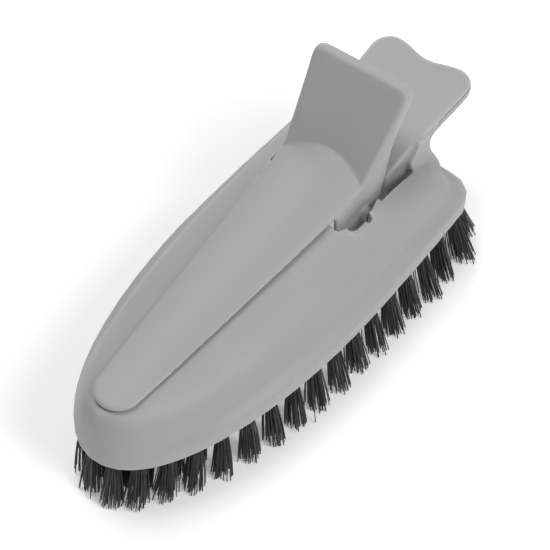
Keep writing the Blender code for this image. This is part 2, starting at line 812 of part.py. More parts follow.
def build_body(material):
    body = add_object("body_shell", hull_bmesh(), material)
    combine(body, add_object("neck_form", neck_bmesh()), "UNION")
    cavity = add_object("cavity_form", cavity_bmesh())
    combine(cavity, add_object("rib_forms", rib_blocks()), "DIFFERENCE")
    combine(cavity, add_object("tuft_bosses", tuft_bosses_bmesh()), "DIFFERENCE")
    combine(body, cavity, "DIFFERENCE")
    core = bmesh.new()
    half = NECK_TOP_HALF_WIDTH - NECK_WALL
    core_low = (-half, station(SLOT_REAR_STATION - OVERRUN), BRISTLE_TRIM + RIM_WALL)
    add_box(core, core_low, (half, station(NECK_REAR_STATION - NECK_WALL), NECK_CORE_TOP))
    combine(body, add_object("neck_core", core), "DIFFERENCE")
    combine(body, add_object("slot_cutter", opening_bmesh()), "DIFFERENCE")
    combine(body, add_object("notch_cutter", notch_bmesh()), "DIFFERENCE")
    handle = add_object("handle_form", handle_bmesh())
    round_edges(handle, TAIL_EDGE_ROUND, 2)
    combine(body, handle, "UNION")
    combine(body, add_object("tail_pocket", tail_pocket_bmesh()), "DIFFERENCE")
    combine(body, add_object("spine_pocket", spine_pocket_bmesh()), "DIFFERENCE")
    combine(body, add_object("tuft_hole_cutter", tuft_holes_bmesh()), "DIFFERENCE")
    reach = PIN_LENGTH / 2 + PIN_CLEARANCE
    add_pin_bores(body, PIN_DIAMETER / 2 + PIN_CLEARANCE, -reach, reach, "body_pin_bore")
    return body


def tongue_half_width(distance):
    share = (distance - TIP_STATION - TIP_RADIUS) / (
        TONGUE_ROOT_STATION - TIP_STATION - TIP_RADIUS
    )
    share = min(max(share, 0.0), 1.0)
    return blend(TIP_RADIUS, TONGUE_ROOT_HALF_WIDTH, share ** TONGUE_TAPER_POWER)


def tongue_bottom(distance):
    """The tongue seats on the land at its tip, and clears it by a fine gap behind."""
    run = (TONGUE_ROOT_STATION - TIP_STATION) * TIP_SEAT_SHARE
    share = smooth((distance - TIP_STATION) / run)
    height = LAND_FRONT_HEIGHT + LAND_SLOPE * distance
    return height + blend(TIP_SEAT_GAP, MID_SEAT_GAP, share)


def tongue_edge_top(distance):
    share = (distance - TIP_STATION) / (TONGUE_ROOT_STATION - TIP_STATION)
    low = tongue_bottom(TIP_STATION) + TIP_EDGE_THICKNESS
    risen = blend(share * share, share, TONGUE_STRAIGHT_SHARE)
    return blend(low, ROOT_EDGE_HEIGHT, risen)


def tongue_crown(distance):
    share = (distance - TIP_STATION) / (TONGUE_ROOT_STATION - TIP_STATION)
    return blend(TIP_CROWN, ROOT_CROWN, share)


def tongue_sections():
    """Stations and half widths of the tongue's sections, round at the tip."""
    sections = []
    steps = 6
    for i in range(1, steps + 1):
        angle = math.pi / 2 * i / steps
        along = TIP_STATION + TIP_RADIUS * (1 - math.cos(angle))
        sections.append((along, TIP_RADIUS * math.sin(angle)))
    start = TIP_STATION + TIP_RADIUS
    for share in TONGUE_STATION_SHARES:
        along = blend(start, TONGUE_ROOT_STATION, share)
        sections.append((along, tongue_half_width(along)))
    sections.append((TONGUE_END_STATION, TONGUE_ROOT_HALF_WIDTH))
    return sections


def tongue_bmesh():
    mesh_data = bmesh.new()
    tops, bottoms = [], []
    for along, half in tongue_sections():
        y = station(along)
        edge, crown = tongue_edge_top(along), tongue_crown(along)
        top, bottom = [], []
        for share in CROWN_SHARES:
            height = edge + crown * (1 - share * share) * (half / tongue_half_width(along))
            top.append(mesh_data.verts.new((share * half, y, height)))
            bottom.append(mesh_data.verts.new((share * half, y, tongue_bottom(along))))
        tops.append(top)
        bottoms.append(bottom)
    y = station(TIP_STATION)
    nose_top = mesh_data.verts.new((0, y, tongue_edge_top(TIP_STATION)))
    nose_bottom = mesh_data.verts.new((0, y, tongue_bottom(TIP_STATION)))
    count = len(CROWN_SHARES)
    for layer, nose in ((tops, nose_top), (bottoms, nose_bottom)):
        for i in range(count - 1):
            mesh_data.faces.new((nose, layer[0][i], layer[0][i + 1]))
        for a, b in zip(layer, layer[1:]):
            for i in range(count - 1):
                mesh_data.faces.new((a[i], b[i], b[i + 1], a[i + 1]))
    for edge in (0, count - 1):
        mesh_data.faces.new((nose_top, tops[0][edge], bottoms[0][edge], nose_bottom))
        for i in range(len(tops) - 1):
            corners = (tops[i][edge], tops[i + 1][edge], bottoms[i + 1][edge], bottoms[i][edge])
            mesh_data.faces.new(corners)
    for i in range(count - 1):
        last = len(tops) - 1
        corners = (tops[last][i], tops[last][i + 1], bottoms[last][i + 1], bottoms[last][i])
        mesh_data.faces.new(corners)
    return mesh_data


def tab_frame():
    """The tab's foot, its direction upwards and its direction to the back, as (station, height)."""
    foot = Vector((TAB_FOOT_STATION, TAB_FOOT_HEIGHT))
    run = Vector((TAB_TOP_STATION, TAB_TOP_HEIGHT)) - foot
    length = run.length
    run.normalize()
    return foot, run, Vector((run.y, -run.x)), length


def tab_profile():
    """Side outline of the tab and cheeks: up the face, over the top, down the back, round the
    knuckle under the hinge and up its front to the tongue."""
    foot, run, back, length = tab_frame()
    points = []
    steps = 6
    for i in range(steps + 1):
        share = i / steps
        hollow = TAB_FACE_HOLLOW * 4 * share * (1 - share)
        points.append(foot + run * length * share + back * hollow)
    radius = TAB_TOP_THICKNESS / 2
    centre = foot + run * (length - radius / 2) + back * radius
    for i in range(1, steps):
        angle = math.pi * i / steps
        points.append(centre - back * radius * math.cos(angle) + run * radius * math.sin(angle))
    points.append(centre + back * radius - run * radius / 2)
    points.append(Vector((TAB_WAIST_STATION, TAB_WAIST_HEIGHT)))
    points.append(Vector((TAB_HIP_STATION, TAB_HIP_HEIGHT)))
    points.append(Vector((TAB_HEEL_STATION, TAB_HEEL_HEIGHT)))
    hinge = Vector((HINGE_STATION, HINGE_HEIGHT))
    turns = 12
    for i in range(turns + 1):
        angle = blend(KNUCKLE_START_ANGLE, KNUCKLE_END_ANGLE, i / turns)
        points.append(hinge + KNUCKLE_RADIUS * Vector((math.cos(angle), math.sin(angle))))
    front = CHEEK_FRONT_STATION
    points.append(Vector((front, CHEEK_FRONT_HEIGHT)))
    points.append(Vector((front, tongue_edge_top(front) - TONGUE_EDGE_ROUND)))
    return points


def inset_outline(points, inset):
    """The outline drawn in by this much, corner by corner."""
    count = len(points)
    found = []
    for i, point in enumerate(points):
        run = (points[(i + 1) % count] - points[i - 1]).normalized()
        found.append(point + Vector((run.y, -run.x)) * inset)
    return found


def tab_bmesh():
    """The tab and its cheeks, with round edges and round upper corners."""
    foot, run, _, length = tab_frame()
    outline = tab_profile()
    half = TONGUE_ROOT_HALF_WIDTH
    rings = []
    for side in (-1, 1):
        for share in TAB_EDGE_SHARES[:: side]:
            across = half - TAB_CORNER_RADIUS * (1 - share)
            corner = TAB_CORNER_RADIUS * (1 - math.sqrt(1 - share * share))
            past = max(across - half + TAB_EDGE_ROUND, 0.0)
            inset = TAB_EDGE_ROUND - math.sqrt(TAB_EDGE_ROUND ** 2 - past * past)
            ring = []
            for point in inset_outline(outline, inset):
                up = (point - foot).dot(run) / length
                point = point - run * corner * smooth(1 - (1 - up) / TAB_CORNER_SHARE)
                ring.append((side * across, station(point.x), point.y))
            rings.append(ring)
    mesh_data = bmesh.new()
    rows = skin_rings(mesh_data, rings)
    mesh_data.faces.new(rows[0][::-1])
    mesh_data.faces.new(rows[-1])
    return mesh_data


def widen_upwards(mesh_data):
    """The tab grows wider from the hinge to its top."""
    for vert in mesh_data.verts:
        share = smooth((vert.co.z - TAB_FOOT_HEIGHT) / (TAB_TOP_HEIGHT - TAB_FOOT_HEIGHT))
        gain = (TAB_TOP_HALF_WIDTH - TONGUE_ROOT_HALF_WIDTH) * share
        vert.co.x += math.copysign(gain, vert.co.x)


def build_lever(material):
    half = TONGUE_ROOT_HALF_WIDTH
    hinge = (0.0, station(HINGE_STATION), HINGE_HEIGHT)
    lever = add_object("clip_lever", tongue_bmesh(), material, hinge)
    round_edges(lever, TONGUE_EDGE_ROUND, 1)
    tab = tab_bmesh()
    widen_upwards(tab)
    combine(lever, add_object("tab_form", tab), "UNION")
    hollow_half = half - CHEEK_THICKNESS
    hollow = prism(tab_hollow_profile(), -hollow_half, hollow_half)
    widen_upwards(hollow)
    combine(lever, add_object("tab_hollow", hollow), "DIFFERENCE")
    combine(lever, add_object("tongue_hollow", tongue_hollow_bmesh()), "DIFFERENCE")
    bosses = bmesh.new()
    for side in (-1, 1):
        inner = side * (half - CHEEK_THICKNESS / 2)
        outer = side * (SLOT_HALF_WIDTH - LUG_GAP)
        ends = (min(inner, outer), max(inner, outer))
        add_rod(bosses, BOSS_RADIUS, *ends, station(HINGE_STATION), HINGE_HEIGHT)
    combine(lever, add_object("boss_forms", bosses), "UNION")
    reach = SLOT_HALF_WIDTH + OVERRUN
    add_pin_bores(lever, PIN_DIAMETER / 2 + PIN_CLEARANCE, -reach, reach, "lever_pin_bore")
    return lever


def tab_hollow_profile():
    """Side outline of the hollow behind the tab's face, open to the back and below."""
    foot, run, back, length = tab_frame()
    skin = TAB_SKIN + TAB_FACE_HOLLOW
    below = HINGE_HEIGHT - KNUCKLE_RADIUS - OVERRUN
    behind = TAB_TOP_STATION + TAB_TOP_THICKNESS + OVERRUN * 2
    front = CHEEK_FRONT_STATION - OVERRUN
    ceiling = tongue_edge_top(front) - TONGUE_SKIN / 2
    upper = foot + run * (length - TAB_SKIN * 2) + back * skin
    lower = foot + back * skin
    points = (
        (front, below),
        (behind, below),
        (behind, upper.y + back.y * TAB_TOP_THICKNESS),
        (upper.x, upper.y),
        (lower.x, lower.y),
        (front, ceiling),
    )
    return [(station(x), y) for x, y in points]


def tongue_hollow_bmesh():
    """The hollow under the tongue, that leaves an even skin under its crown, with a middle rib."""
    mesh_data = bmesh.new()
    rows = {-1: [], 1: []}
    shares = (0.0, 0.25, 0.5, 0.75, 1.0)
    for share in shares:
        along = blend(TONGUE_POCKET_FRONT_STATION, NOTCH_FRONT_STATION + OVERRUN, share)
        half = tongue_half_width(along) - CHEEK_THICKNESS
        bottom = tongue_bottom(along)
        for side in (-1, 1):
            xs = (TONGUE_RIB_THICKNESS / 2, half / 2, half)
            row = [(side * x, station(along), bottom - OVERRUN) for x in (xs[0], xs[-1])]
            for x in reversed(xs):
                reach = x / tongue_half_width(along)
                roof = tongue_edge_top(along) + tongue_crown(along) * (1 - reach * reach)
                height = max(roof - TONGUE_SKIN, bottom - OVERRUN / 2)
                row.append((side * x, station(along), height))
            rows[side].append(row)
    for side in (-1, 1):
        made = skin_rings(mesh_data, rows[side])
        mesh_data.faces.new(made[0][::-1])
        mesh_data.faces.new(made[-1])
    return mesh_data


def build_pin(material):
    mesh_data = bmesh.new()
    half = PIN_LENGTH / 2
    add_rod(mesh_data, PIN_DIAMETER / 2, -half, half, 0.0, 0.0)
    pin = add_object("hinge_pin", mesh_data, material)
    pin.location = (0.0, station(HINGE_STATION), HINGE_HEIGHT)
    round_edges(pin, PIN_CHAMFER, 1)
    return pin


def spring_points():
    """Centre line of the torsion spring about the hinge axis: deck leg, coil, tab leg."""
    span = COIL_PITCH * COIL_TURNS
    seat = LEG_SEAT_GAP + WIRE_DIAMETER / 2
    deck_angle = math.pi / 2
    foot, run, back, _ = tab_frame()
    tab_angle = math.atan2(run.y, run.x) + math.pi / 2
    sweep = 2 * math.pi * COIL_TURNS + deck_angle - tab_angle
    steps = round(SPRING_TURN_POINTS * sweep / (2 * math.pi))
    start = Vector((-span / 2, 0.0, COIL_RADIUS))
    deck = land_height(HINGE_STATION - DECK_LEG_LENGTH) - SHELL_WALL - HINGE_HEIGHT
    deck_end = Vector((-span / 2, -DECK_LEG_LENGTH, deck - seat))
    points = [deck_end, deck_end.lerp(start, 1 / 2)]
    for i in range(steps + 1):
        angle = deck_angle - sweep * i / steps
        x = -span / 2 + span * i / steps
        points.append(Vector((x, COIL_RADIUS * math.cos(angle), COIL_RADIUS * math.sin(angle))))
    face = (Vector((HINGE_STATION, HINGE_HEIGHT)) - foot).dot(back)
    lift = face - TAB_SKIN - TAB_FACE_HOLLOW - seat
    tab_end = run * TAB_LEG_LENGTH - back * lift
    tab_end = Vector((span / 2, tab_end.x, tab_end.y))
    return points + [points[-1].lerp(tab_end, 1 / 2), tab_end]


def least_spring_gap(points):
    """Least clear distance between parts of the wire that lie half a turn or more apart."""
    apart = SPRING_TURN_POINTS // 2
    least = math.inf
    for i, point in enumerate(points):
        for other in points[i + apart :]:
            least = min(least, (point - other).length)
    return least - WIRE_DIAMETER


def build_spring(material):
    curve = bpy.data.curves.new("torsion_spring", "CURVE")
    curve.dimensions = "3D"
    curve.bevel_depth = WIRE_DIAMETER / 2
    curve.bevel_resolution = 1
    curve.use_fill_caps = True
    spline = curve.splines.new("POLY")
    points = spring_points()
    print(f"torsion_spring: least gap to itself {least_spring_gap(points) * 1000:.2f} mm")
    spline.points.add(len(points) - 1)
    for target, point in zip(spline.points, points):
        target.co = (*point, 1.0)
    curve.materials.append(material)
    spring = bpy.data.objects.new("torsion_spring", curve)
    spring.location = (0.0, station(HINGE_STATION), HINGE_HEIGHT)
    bpy.context.scene.collection.objects.link(spring)
    return spring


def strand_bases(index):
    """Places of a tuft's strands in its plug's face, on two rings, turned from tuft to tuft."""
    rings = (
        (INNER_STRANDS, STRAND_BASE_RADIUS * INNER_STRAND_SHARE),
        (STRANDS_PER_TUFT - INNER_STRANDS, STRAND_BASE_RADIUS),
    )
    places = []
    for count, reach in rings:
        for i in range(count):
            angle = index * TUFT_TURN + 2 * math.pi * i / count
            places.append(Vector((reach * math.cos(angle), reach * math.sin(angle), 0.0)))
    return places


def tuft_bmeshes(index, spot, out):
    """The plug in its hole, and the strands that fan out of its face down to the floor."""
    plug = bmesh.new()
    frame = hole_frame(spot, out)
    depth = HOLE_DEPTH - HOLE_CLEARANCE
    low = -PLUG_SLICE
    centre = Matrix.Translation((0, 0, (low + depth) / 2))
    bmesh.ops.create_cone(
        plug,
        cap_ends=True,
        segments=PLUG_SIDES,
        radius1=PLUG_RADIUS,
        radius2=PLUG_RADIUS,
        depth=depth - low,
        matrix=frame @ centre,
    )
    strands = bmesh.new()
    axis = tuft_axis(spot, out)
    drop = (BRISTLE_TRIM + TIP_CUT) / -axis.z
    widening = (STRAND_FAN if index < TUFT_COUNT else NOSE_ROW_FAN) - 1
    for i, base in enumerate(strand_bases(index)):
        start = frame @ (base + Vector((0, 0, PLUG_SLICE)))
        fan = frame.to_3x3() @ (base * widening)
        short = SHORT_STRAND_CUT * SHORTER_SHARES[(index + i) % len(SHORTER_SHARES)]
        end = frame @ base + fan + axis * (drop - short)
        add_strand(strands, start, end)
    return plug, strands


def add_strand(mesh_data, start, end):
    """A straight strand of three sides."""
    run = (end - start).normalized()
    side = run.orthogonal().normalized()
    other = run.cross(side)
    rows = []
    for place in (start, end):
        row = []
        for i in range(3):
            angle = 2 * math.pi * i / 3
            offset = side * math.cos(angle) + other * math.sin(angle)
            row.append(mesh_data.verts.new(place + offset * STRAND_RADIUS))
        rows.append(row)
    mesh_data.faces.new(rows[0][::-1])
    mesh_data.faces.new(rows[1])
    for i in range(3):
        j = (i + 1) % 3
        mesh_data.faces.new((rows[0][i], rows[0][j], rows[1][j], rows[1][i]))


def floor_cutter():
    """Everything under the floor, where the bristle tips are cut flat."""
    mesh_data = bmesh.new()
    reach = BODY_LENGTH
    add_box(mesh_data, (-reach, -reach, -BRISTLE_TRIM), (reach, reach, 0.0))
    return add_object("floor_cutter", mesh_data)


def build_tufts(material):
    floor = floor_cutter()
    for index, (spot, out) in enumerate(tuft_places()):
        plug, strands = tuft_bmeshes(index, spot, out)
        tuft = add_object(f"tuft_{index + 1:02d}", plug, material)
        strand_form = add_object(f"strands_{index + 1:02d}", strands)
        combine(tuft, strand_form, "UNION")
        combine(tuft, floor, "DIFFERENCE")


def main():
    clear_scene()
    plastic = make_material("grey_plastic", PLASTIC_GREY, 0.5, 0.0)
    steel = make_material("spring_steel", STEEL_GREY, 0.3, 1.0)
    bristle = make_material("dark_bristle", BRISTLE_DARK, 0.55, 0.0)
    build_body(plastic)
    build_lever(plastic)
    build_pin(steel)
    build_spring(steel)
    build_tufts(bristle)


main()
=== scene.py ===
"""Looks of the sprung clip brush: soft-edged mouldings, bristle filaments, pin and spring, studio and camera.

Each piece is made on the packed CAD model, which stays as the fixed frame. X runs across the brush,
Y from the nose to the tail and Z up from the floor, in metres.
"""

import json
import math
import random

import bmesh
import bpy
import numpy as np
from bpy.props import FloatProperty, FloatVectorProperty, IntProperty, PointerProperty
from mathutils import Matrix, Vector
from mathutils.bvhtree import BVHTree
from mathutils.kdtree import KDTree


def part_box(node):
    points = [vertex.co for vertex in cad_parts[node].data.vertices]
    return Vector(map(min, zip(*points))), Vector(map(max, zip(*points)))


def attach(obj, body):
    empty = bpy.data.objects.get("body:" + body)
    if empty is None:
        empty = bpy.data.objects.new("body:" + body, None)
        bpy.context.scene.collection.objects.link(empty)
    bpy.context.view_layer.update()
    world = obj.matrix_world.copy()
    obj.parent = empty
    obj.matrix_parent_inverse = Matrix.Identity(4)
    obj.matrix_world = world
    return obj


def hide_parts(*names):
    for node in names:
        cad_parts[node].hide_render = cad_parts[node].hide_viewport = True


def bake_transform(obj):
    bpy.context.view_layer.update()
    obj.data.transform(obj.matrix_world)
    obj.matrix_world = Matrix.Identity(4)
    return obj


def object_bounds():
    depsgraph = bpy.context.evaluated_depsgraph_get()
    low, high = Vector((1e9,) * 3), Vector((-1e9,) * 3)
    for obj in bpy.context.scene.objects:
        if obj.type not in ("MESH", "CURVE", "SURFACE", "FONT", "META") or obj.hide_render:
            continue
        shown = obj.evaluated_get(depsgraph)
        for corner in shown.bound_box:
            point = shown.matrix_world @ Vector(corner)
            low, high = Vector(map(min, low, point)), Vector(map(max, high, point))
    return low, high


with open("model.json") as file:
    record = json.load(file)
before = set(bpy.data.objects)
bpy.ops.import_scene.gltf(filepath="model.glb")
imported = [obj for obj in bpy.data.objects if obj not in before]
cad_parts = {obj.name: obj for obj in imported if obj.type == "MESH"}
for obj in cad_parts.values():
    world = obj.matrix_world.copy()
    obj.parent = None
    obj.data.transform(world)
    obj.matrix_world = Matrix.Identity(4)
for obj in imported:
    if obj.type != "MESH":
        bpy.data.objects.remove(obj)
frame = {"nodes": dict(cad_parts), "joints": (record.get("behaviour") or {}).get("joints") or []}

bl_info = {
    "name": "Clip brush looks",
    "version": (1, 0, 0),
    "blender": (4, 5, 0),
    "location": "View3D > Sidebar > Clip brush",
    "description": "Dresses the clip brush with moulded plastic, bristles and steel, and sets its studio",
    "category": "Object",
}

CAD_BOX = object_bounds()
TUFT_NODES = sorted(name for name in frame["nodes"] if name.startswith("tuft_"))
HINGE = Vector(frame["joints"][0]["pos_m"])


class MouldingSettings(bpy.types.PropertyGroup):
    """How the two grey mouldings are refined, and their plastic."""

    body_grid: FloatProperty(
        name="Body grid", description="Mesh size of the body moulding",
        default=0.00052, min=0.0003, max=0.003, precision=5, unit="LENGTH",
    )
    lever_grid: FloatProperty(
        name="Clip grid", description="Mesh size of the clip moulding",
        default=0.00038, min=0.0003, max=0.003, precision=5, unit="LENGTH",
    )
    body_edge_passes: IntProperty(
        name="Body edge softening", description="Smoothing passes that round every edge of the body",
        default=11, min=0, max=60,
    )
    lever_edge_passes: IntProperty(
        name="Clip edge softening", description="Smoothing passes that round every edge of the clip",
        default=18, min=0, max=60,
    )
    fillet_passes: IntProperty(
        name="Fillet passes", description="Smoothing passes where the body's forms melt into one another",
        default=160, min=0, max=600,
    )
    foot_hollow: FloatProperty(
        name="Foot hollow", description="How much the foot of the deck is hollowed above the rim",
        default=0.00045, min=0.0, max=0.002, precision=5, unit="LENGTH",
    )
    rim_fullness: FloatProperty(
        name="Rim fullness", description="How much the top of the rim swells",
        default=0.00035, min=0.0, max=0.002, precision=5, unit="LENGTH",
    )
    tab_passes: IntProperty(
        name="Tab passes", description="Smoothing passes that round the thumb tab's outer edges",
        default=70, min=0, max=600,
    )
    face_passes: IntProperty(
        name="Face smoothing", description="Smoothing passes on the broad faces only", default=45, min=0, max=300,
    )
    edge_band: FloatProperty(
        name="Edge band", description="Distance from an edge inside which a face keeps its form",
        default=0.0012, min=0.0, max=0.01, precision=4, unit="LENGTH",
    )
    face_start: FloatProperty(
        name="Face start", description="Distance from an edge where a face is smoothed fully",
        default=0.0045, min=0.001, max=0.02, precision=4, unit="LENGTH",
    )
    color: FloatVectorProperty(
        name="Plastic colour", description="Colour of the moulded plastic",
        default=(0.400, 0.397, 0.405), min=0.0, max=1.0, subtype="COLOR",
    )
    # Painted highlight: a paler colour on the edges that stand proud, in place of the light those rounded edges
    # catch.
    highlight_color: FloatVectorProperty(
        name="Edge colour", description="Paler colour of edges rubbed by hands",
        default=(0.505, 0.500, 0.510), min=0.0, max=1.0, subtype="COLOR",
    )
    grain_depth: FloatProperty(
        name="Grain depth", description="Depth of the fine moulded grain",
        default=0.00002, min=0.0, max=0.001, precision=6, unit="LENGTH",
    )


class SeamSettings(bpy.types.PropertyGroup):
    """The fine joint line along the sides of the tail."""

    front: FloatProperty(
        name="Front end", description="Y of the line's end by the neck", default=0.0879, precision=4, unit="LENGTH",
    )
    rear: FloatProperty(
        name="Rear end", description="Y of the line's end by the tail's lobe", default=0.1091, precision=4,
        unit="LENGTH",
    )
    height: FloatProperty(
        name="Height", description="Height of the line at its front end", default=0.0620, precision=4, unit="LENGTH",
    )
    rise: FloatProperty(name="Rise", description="Slope of the line towards the tail", default=0.13)
    hook: FloatProperty(
        name="Hook", description="Radius of the hook at the front end", default=0.0011, precision=4, unit="LENGTH",
    )
    width: FloatProperty(
        name="Line width", description="Width of the joint line", default=0.00036, precision=5, unit="LENGTH",
    )
    color: FloatVectorProperty(
        name="Line colour", description="Shadow tone in the joint line", default=(0.105, 0.102, 0.108),
        min=0.0, max=1.0, subtype="COLOR",
    )


class TuftSettings(bpy.types.PropertyGroup):
    """The bristle filaments of each tuft."""

    filaments: IntProperty(
        name="Filaments", description="Filaments in each tuft", default=66, min=10, max=120,
    )
    diameter: FloatProperty(
        name="Diameter", description="Diameter of one filament", default=0.00050, precision=5, unit="LENGTH",
    )
    root_radius: FloatProperty(
        name="Root radius", description="Radius of the bundle in its hole", default=0.00225, precision=5,
        unit="LENGTH",
    )
    early_fan: FloatProperty(
        name="Early fan", description="Share of the fan that a filament has by a third of its length", default=0.62,
    )
    raggedness: FloatProperty(
        name="Raggedness", description="How unevenly the tips end", default=0.0011, precision=5, unit="LENGTH",
    )
    stray: FloatProperty(
        name="Stray", description="How far a tip strays from its place", default=0.0006, precision=5, unit="LENGTH",
    )
    seed: IntProperty(name="Seed", description="Changes how the filaments fall", default=11)
    color: FloatVectorProperty(
        name="Bristle colour", description="Colour of the filaments", default=(0.0095, 0.0092, 0.0125),
        min=0.0, max=1.0, subtype="COLOR",
    )
    pale_color: FloatVectorProperty(
        name="Pale bristle colour", description="Colour of the palest filaments", default=(0.042, 0.040, 0.050),
        min=0.0, max=1.0, subtype="COLOR",
    )


class SteelSettings(bpy.types.PropertyGroup):
    """The hinge pin and the torsion spring."""

    wire: FloatProperty(
        name="Wire", description="Diameter of the spring wire", default=0.0014, precision=5, unit="LENGTH",
    )
    coil_radius: FloatProperty(
        name="Coil radius", description="Radius of the coil at the wire's middle", default=0.0032, precision=5,
        unit="LENGTH",
    )
    pitch: FloatProperty(
        name="Pitch", description="Width of one turn", default=0.0019, precision=5, unit="LENGTH",
    )
    turns: IntProperty(name="Turns", description="Full turns of the coil", default=6, min=1, max=12)
    color: FloatVectorProperty(
        name="Steel colour", description="Colour of the wire and the pin", default=(0.60, 0.60, 0.61),
        min=0.0, max=1.0, subtype="COLOR",
    )


class StageSettings(bpy.types.PropertyGroup):
    """The floor, the lights and the camera."""

    floor_color: FloatVectorProperty(
        name="Floor colour", description="Colour of the pale floor", default=(0.93, 0.93, 0.93),
        min=0.0, max=1.0, subtype="COLOR",
    )
    floor_glow: FloatProperty(
        name="Floor glow", description="Light that the floor gives off, which keeps shadows pale", default=0.28,
        min=0.0, max=2.0,
    )
    surround: FloatProperty(
        name="Surround light", description="Strength of the even light all round", default=0.14, min=0.0, max=5.0,
    )
    right: FloatProperty(
        name="Right light", description="Power of the soft light on the right", default=11.6, min=0.0, max=500.0,
        unit="POWER",
    )
    top: FloatProperty(
        name="Top light", description="Power of the soft light above, a little to the left", default=9.2, min=0.0,
        max=500.0, unit="POWER",
    )
    rear: FloatProperty(
        name="Rear light", description="Power of the low soft light behind on the left", default=6.6, min=0.0,
        max=500.0, unit="POWER",
    )
    camera_place: FloatVectorProperty(
        name="Camera place", description="Where the camera stands", default=(0.3845, -0.5104, 0.8126),
        subtype="TRANSLATION", unit="LENGTH",
    )
    camera_target: FloatVectorProperty(
        name="Camera target", description="What the camera looks at", default=(0.0059, -0.0037, 0.038),
        subtype="TRANSLATION", unit="LENGTH",
    )
    lens: FloatProperty(
        name="Lens", description="Focal length in millimetres on a 36 mm sensor", default=160.4, min=20.0, max=400.0,
    )


def shader_nodes(name):
    """A new material, its node tree and its main shader."""
    material = bpy.data.materials.new(name)
    material.use_nodes = True
    tree = material.node_tree
    return material, tree, tree.nodes["Principled BSDF"]


def noise(tree, place, scale, detail, roughness=0.5):
    """A cloudy pattern on the object; a larger scale gives a finer one."""
    node = tree.nodes.new("ShaderNodeTexNoise")
    node.inputs["Scale"].default_value = scale
    node.inputs["Detail"].default_value = detail
    node.inputs["Roughness"].default_value = roughness
    tree.links.new(place, node.inputs["Vector"])
    return node.outputs["Fac"]


def spread(tree, value, low, high, from_low=0.3, from_high=0.7):
    """The value stretched to run between two others."""
    node = tree.nodes.new("ShaderNodeMapRange")
    node.inputs["From Min"].default_value = from_low
    node.inputs["From Max"].default_value = from_high
    node.inputs["To Min"].default_value = low
    node.inputs["To Max"].default_value = high
    tree.links.new(value, node.inputs["Value"])
    return node.outputs["Result"]


def mixed(tree, factor, first, second):
    """Two colours mixed by a factor; each is a colour or another node's output."""
    node = tree.nodes.new("ShaderNodeMix")
    node.data_type = "RGBA"
    tree.links.new(factor, node.inputs["Factor"])
    for name, value in (("A", first), ("B", second)):
        socket = [s for s in node.inputs if s.name == name and s.type == "RGBA"][0]
        if isinstance(value, bpy.types.NodeSocket):
            tree.links.new(value, socket)
        else:
            socket.default_value = (*value, 1.0)
    return [s for s in node.outputs if s.type == "RGBA"][0]


def bumped(tree, shader, height, distance, strength):
    """Give a material a relief as high as the distance."""
    node = tree.nodes.new("ShaderNodeBump")
    node.inputs["Distance"].default_value = distance
    node.inputs["Strength"].default_value = strength
    tree.links.new(height, node.inputs["Height"])
    tree.links.new(node.outputs["Normal"], shader.inputs["Normal"])


def object_place(tree, stretch=(1.0, 1.0, 1.0)):
    """Places on the object, which a pattern follows when the object moves."""
    source = tree.nodes.new("ShaderNodeTexCoord")
    mapping = tree.nodes.new("ShaderNodeMapping")
    mapping.inputs["Scale"].default_value = stretch
    tree.links.new(source.outputs["Object"], mapping.inputs["Vector"])
    return mapping.outputs["Vector"]


def shade(color, factor):
    return tuple(channel * factor for channel in color)


def moulded_plastic(settings):
    """Satin grey plastic with fine spark-eroded grain, faint flow marks and a painted highlight on edges that stand
    proud.
    """
    material, tree, shader = shader_nodes("moulded_grey_plastic")
    place = object_place(tree)
    darker, paler, in_grain = (shade(settings.color, factor) for factor in (0.975, 1.025, 0.72))
    flow = noise(tree, object_place(tree, stretch=(1.0, 0.35, 1.0)), scale=34.0, detail=3.0)
    grain = noise(tree, place, scale=2600.0, detail=2.0, roughness=0.6)
    smudge = noise(tree, place, scale=95.0, detail=4.0, roughness=0.62)
    tone = mixed(tree, spread(tree, flow, low=0.0, high=1.0), darker, paler)
    tone = mixed(tree, spread(tree, grain, low=0.0, high=0.10), tone, in_grain)
    # Painted highlight: edges that stand proud are mixed towards the paler edge colour.
    rubbed = tree.nodes.new("ShaderNodeAttribute")
    rubbed.attribute_name = "rubbed"
    highlight_share = spread(tree, rubbed.outputs["Fac"], low=0.0, high=0.85, from_low=0.2, from_high=1.0)
    tree.links.new(mixed(tree, highlight_share, tone, settings.highlight_color), shader.inputs["Base Color"])
    tree.links.new(spread(tree, smudge, low=0.48, high=0.56), shader.inputs["Roughness"])
    shader.inputs["Specular IOR Level"].default_value = 0.48
    bumped(tree, shader, grain, distance=settings.grain_depth, strength=0.55)
    return material


def joint_shadow(settings):
    """The dark, dusty inside of a narrow joint between two mouldings."""
    material, tree, shader = shader_nodes("joint_shadow")
    deep, dusty = shade(settings.color, 0.8), shade(settings.color, 1.25)
    dust = noise(tree, object_place(tree), scale=700.0, detail=3.0)
    tone = mixed(tree, spread(tree, dust, low=0.0, high=1.0), deep, dusty)
    tree.links.new(tone, shader.inputs["Base Color"])
    shader.inputs["Roughness"].default_value = 0.8
    bumped(tree, shader, dust, distance=0.00002, strength=0.3)
    return material


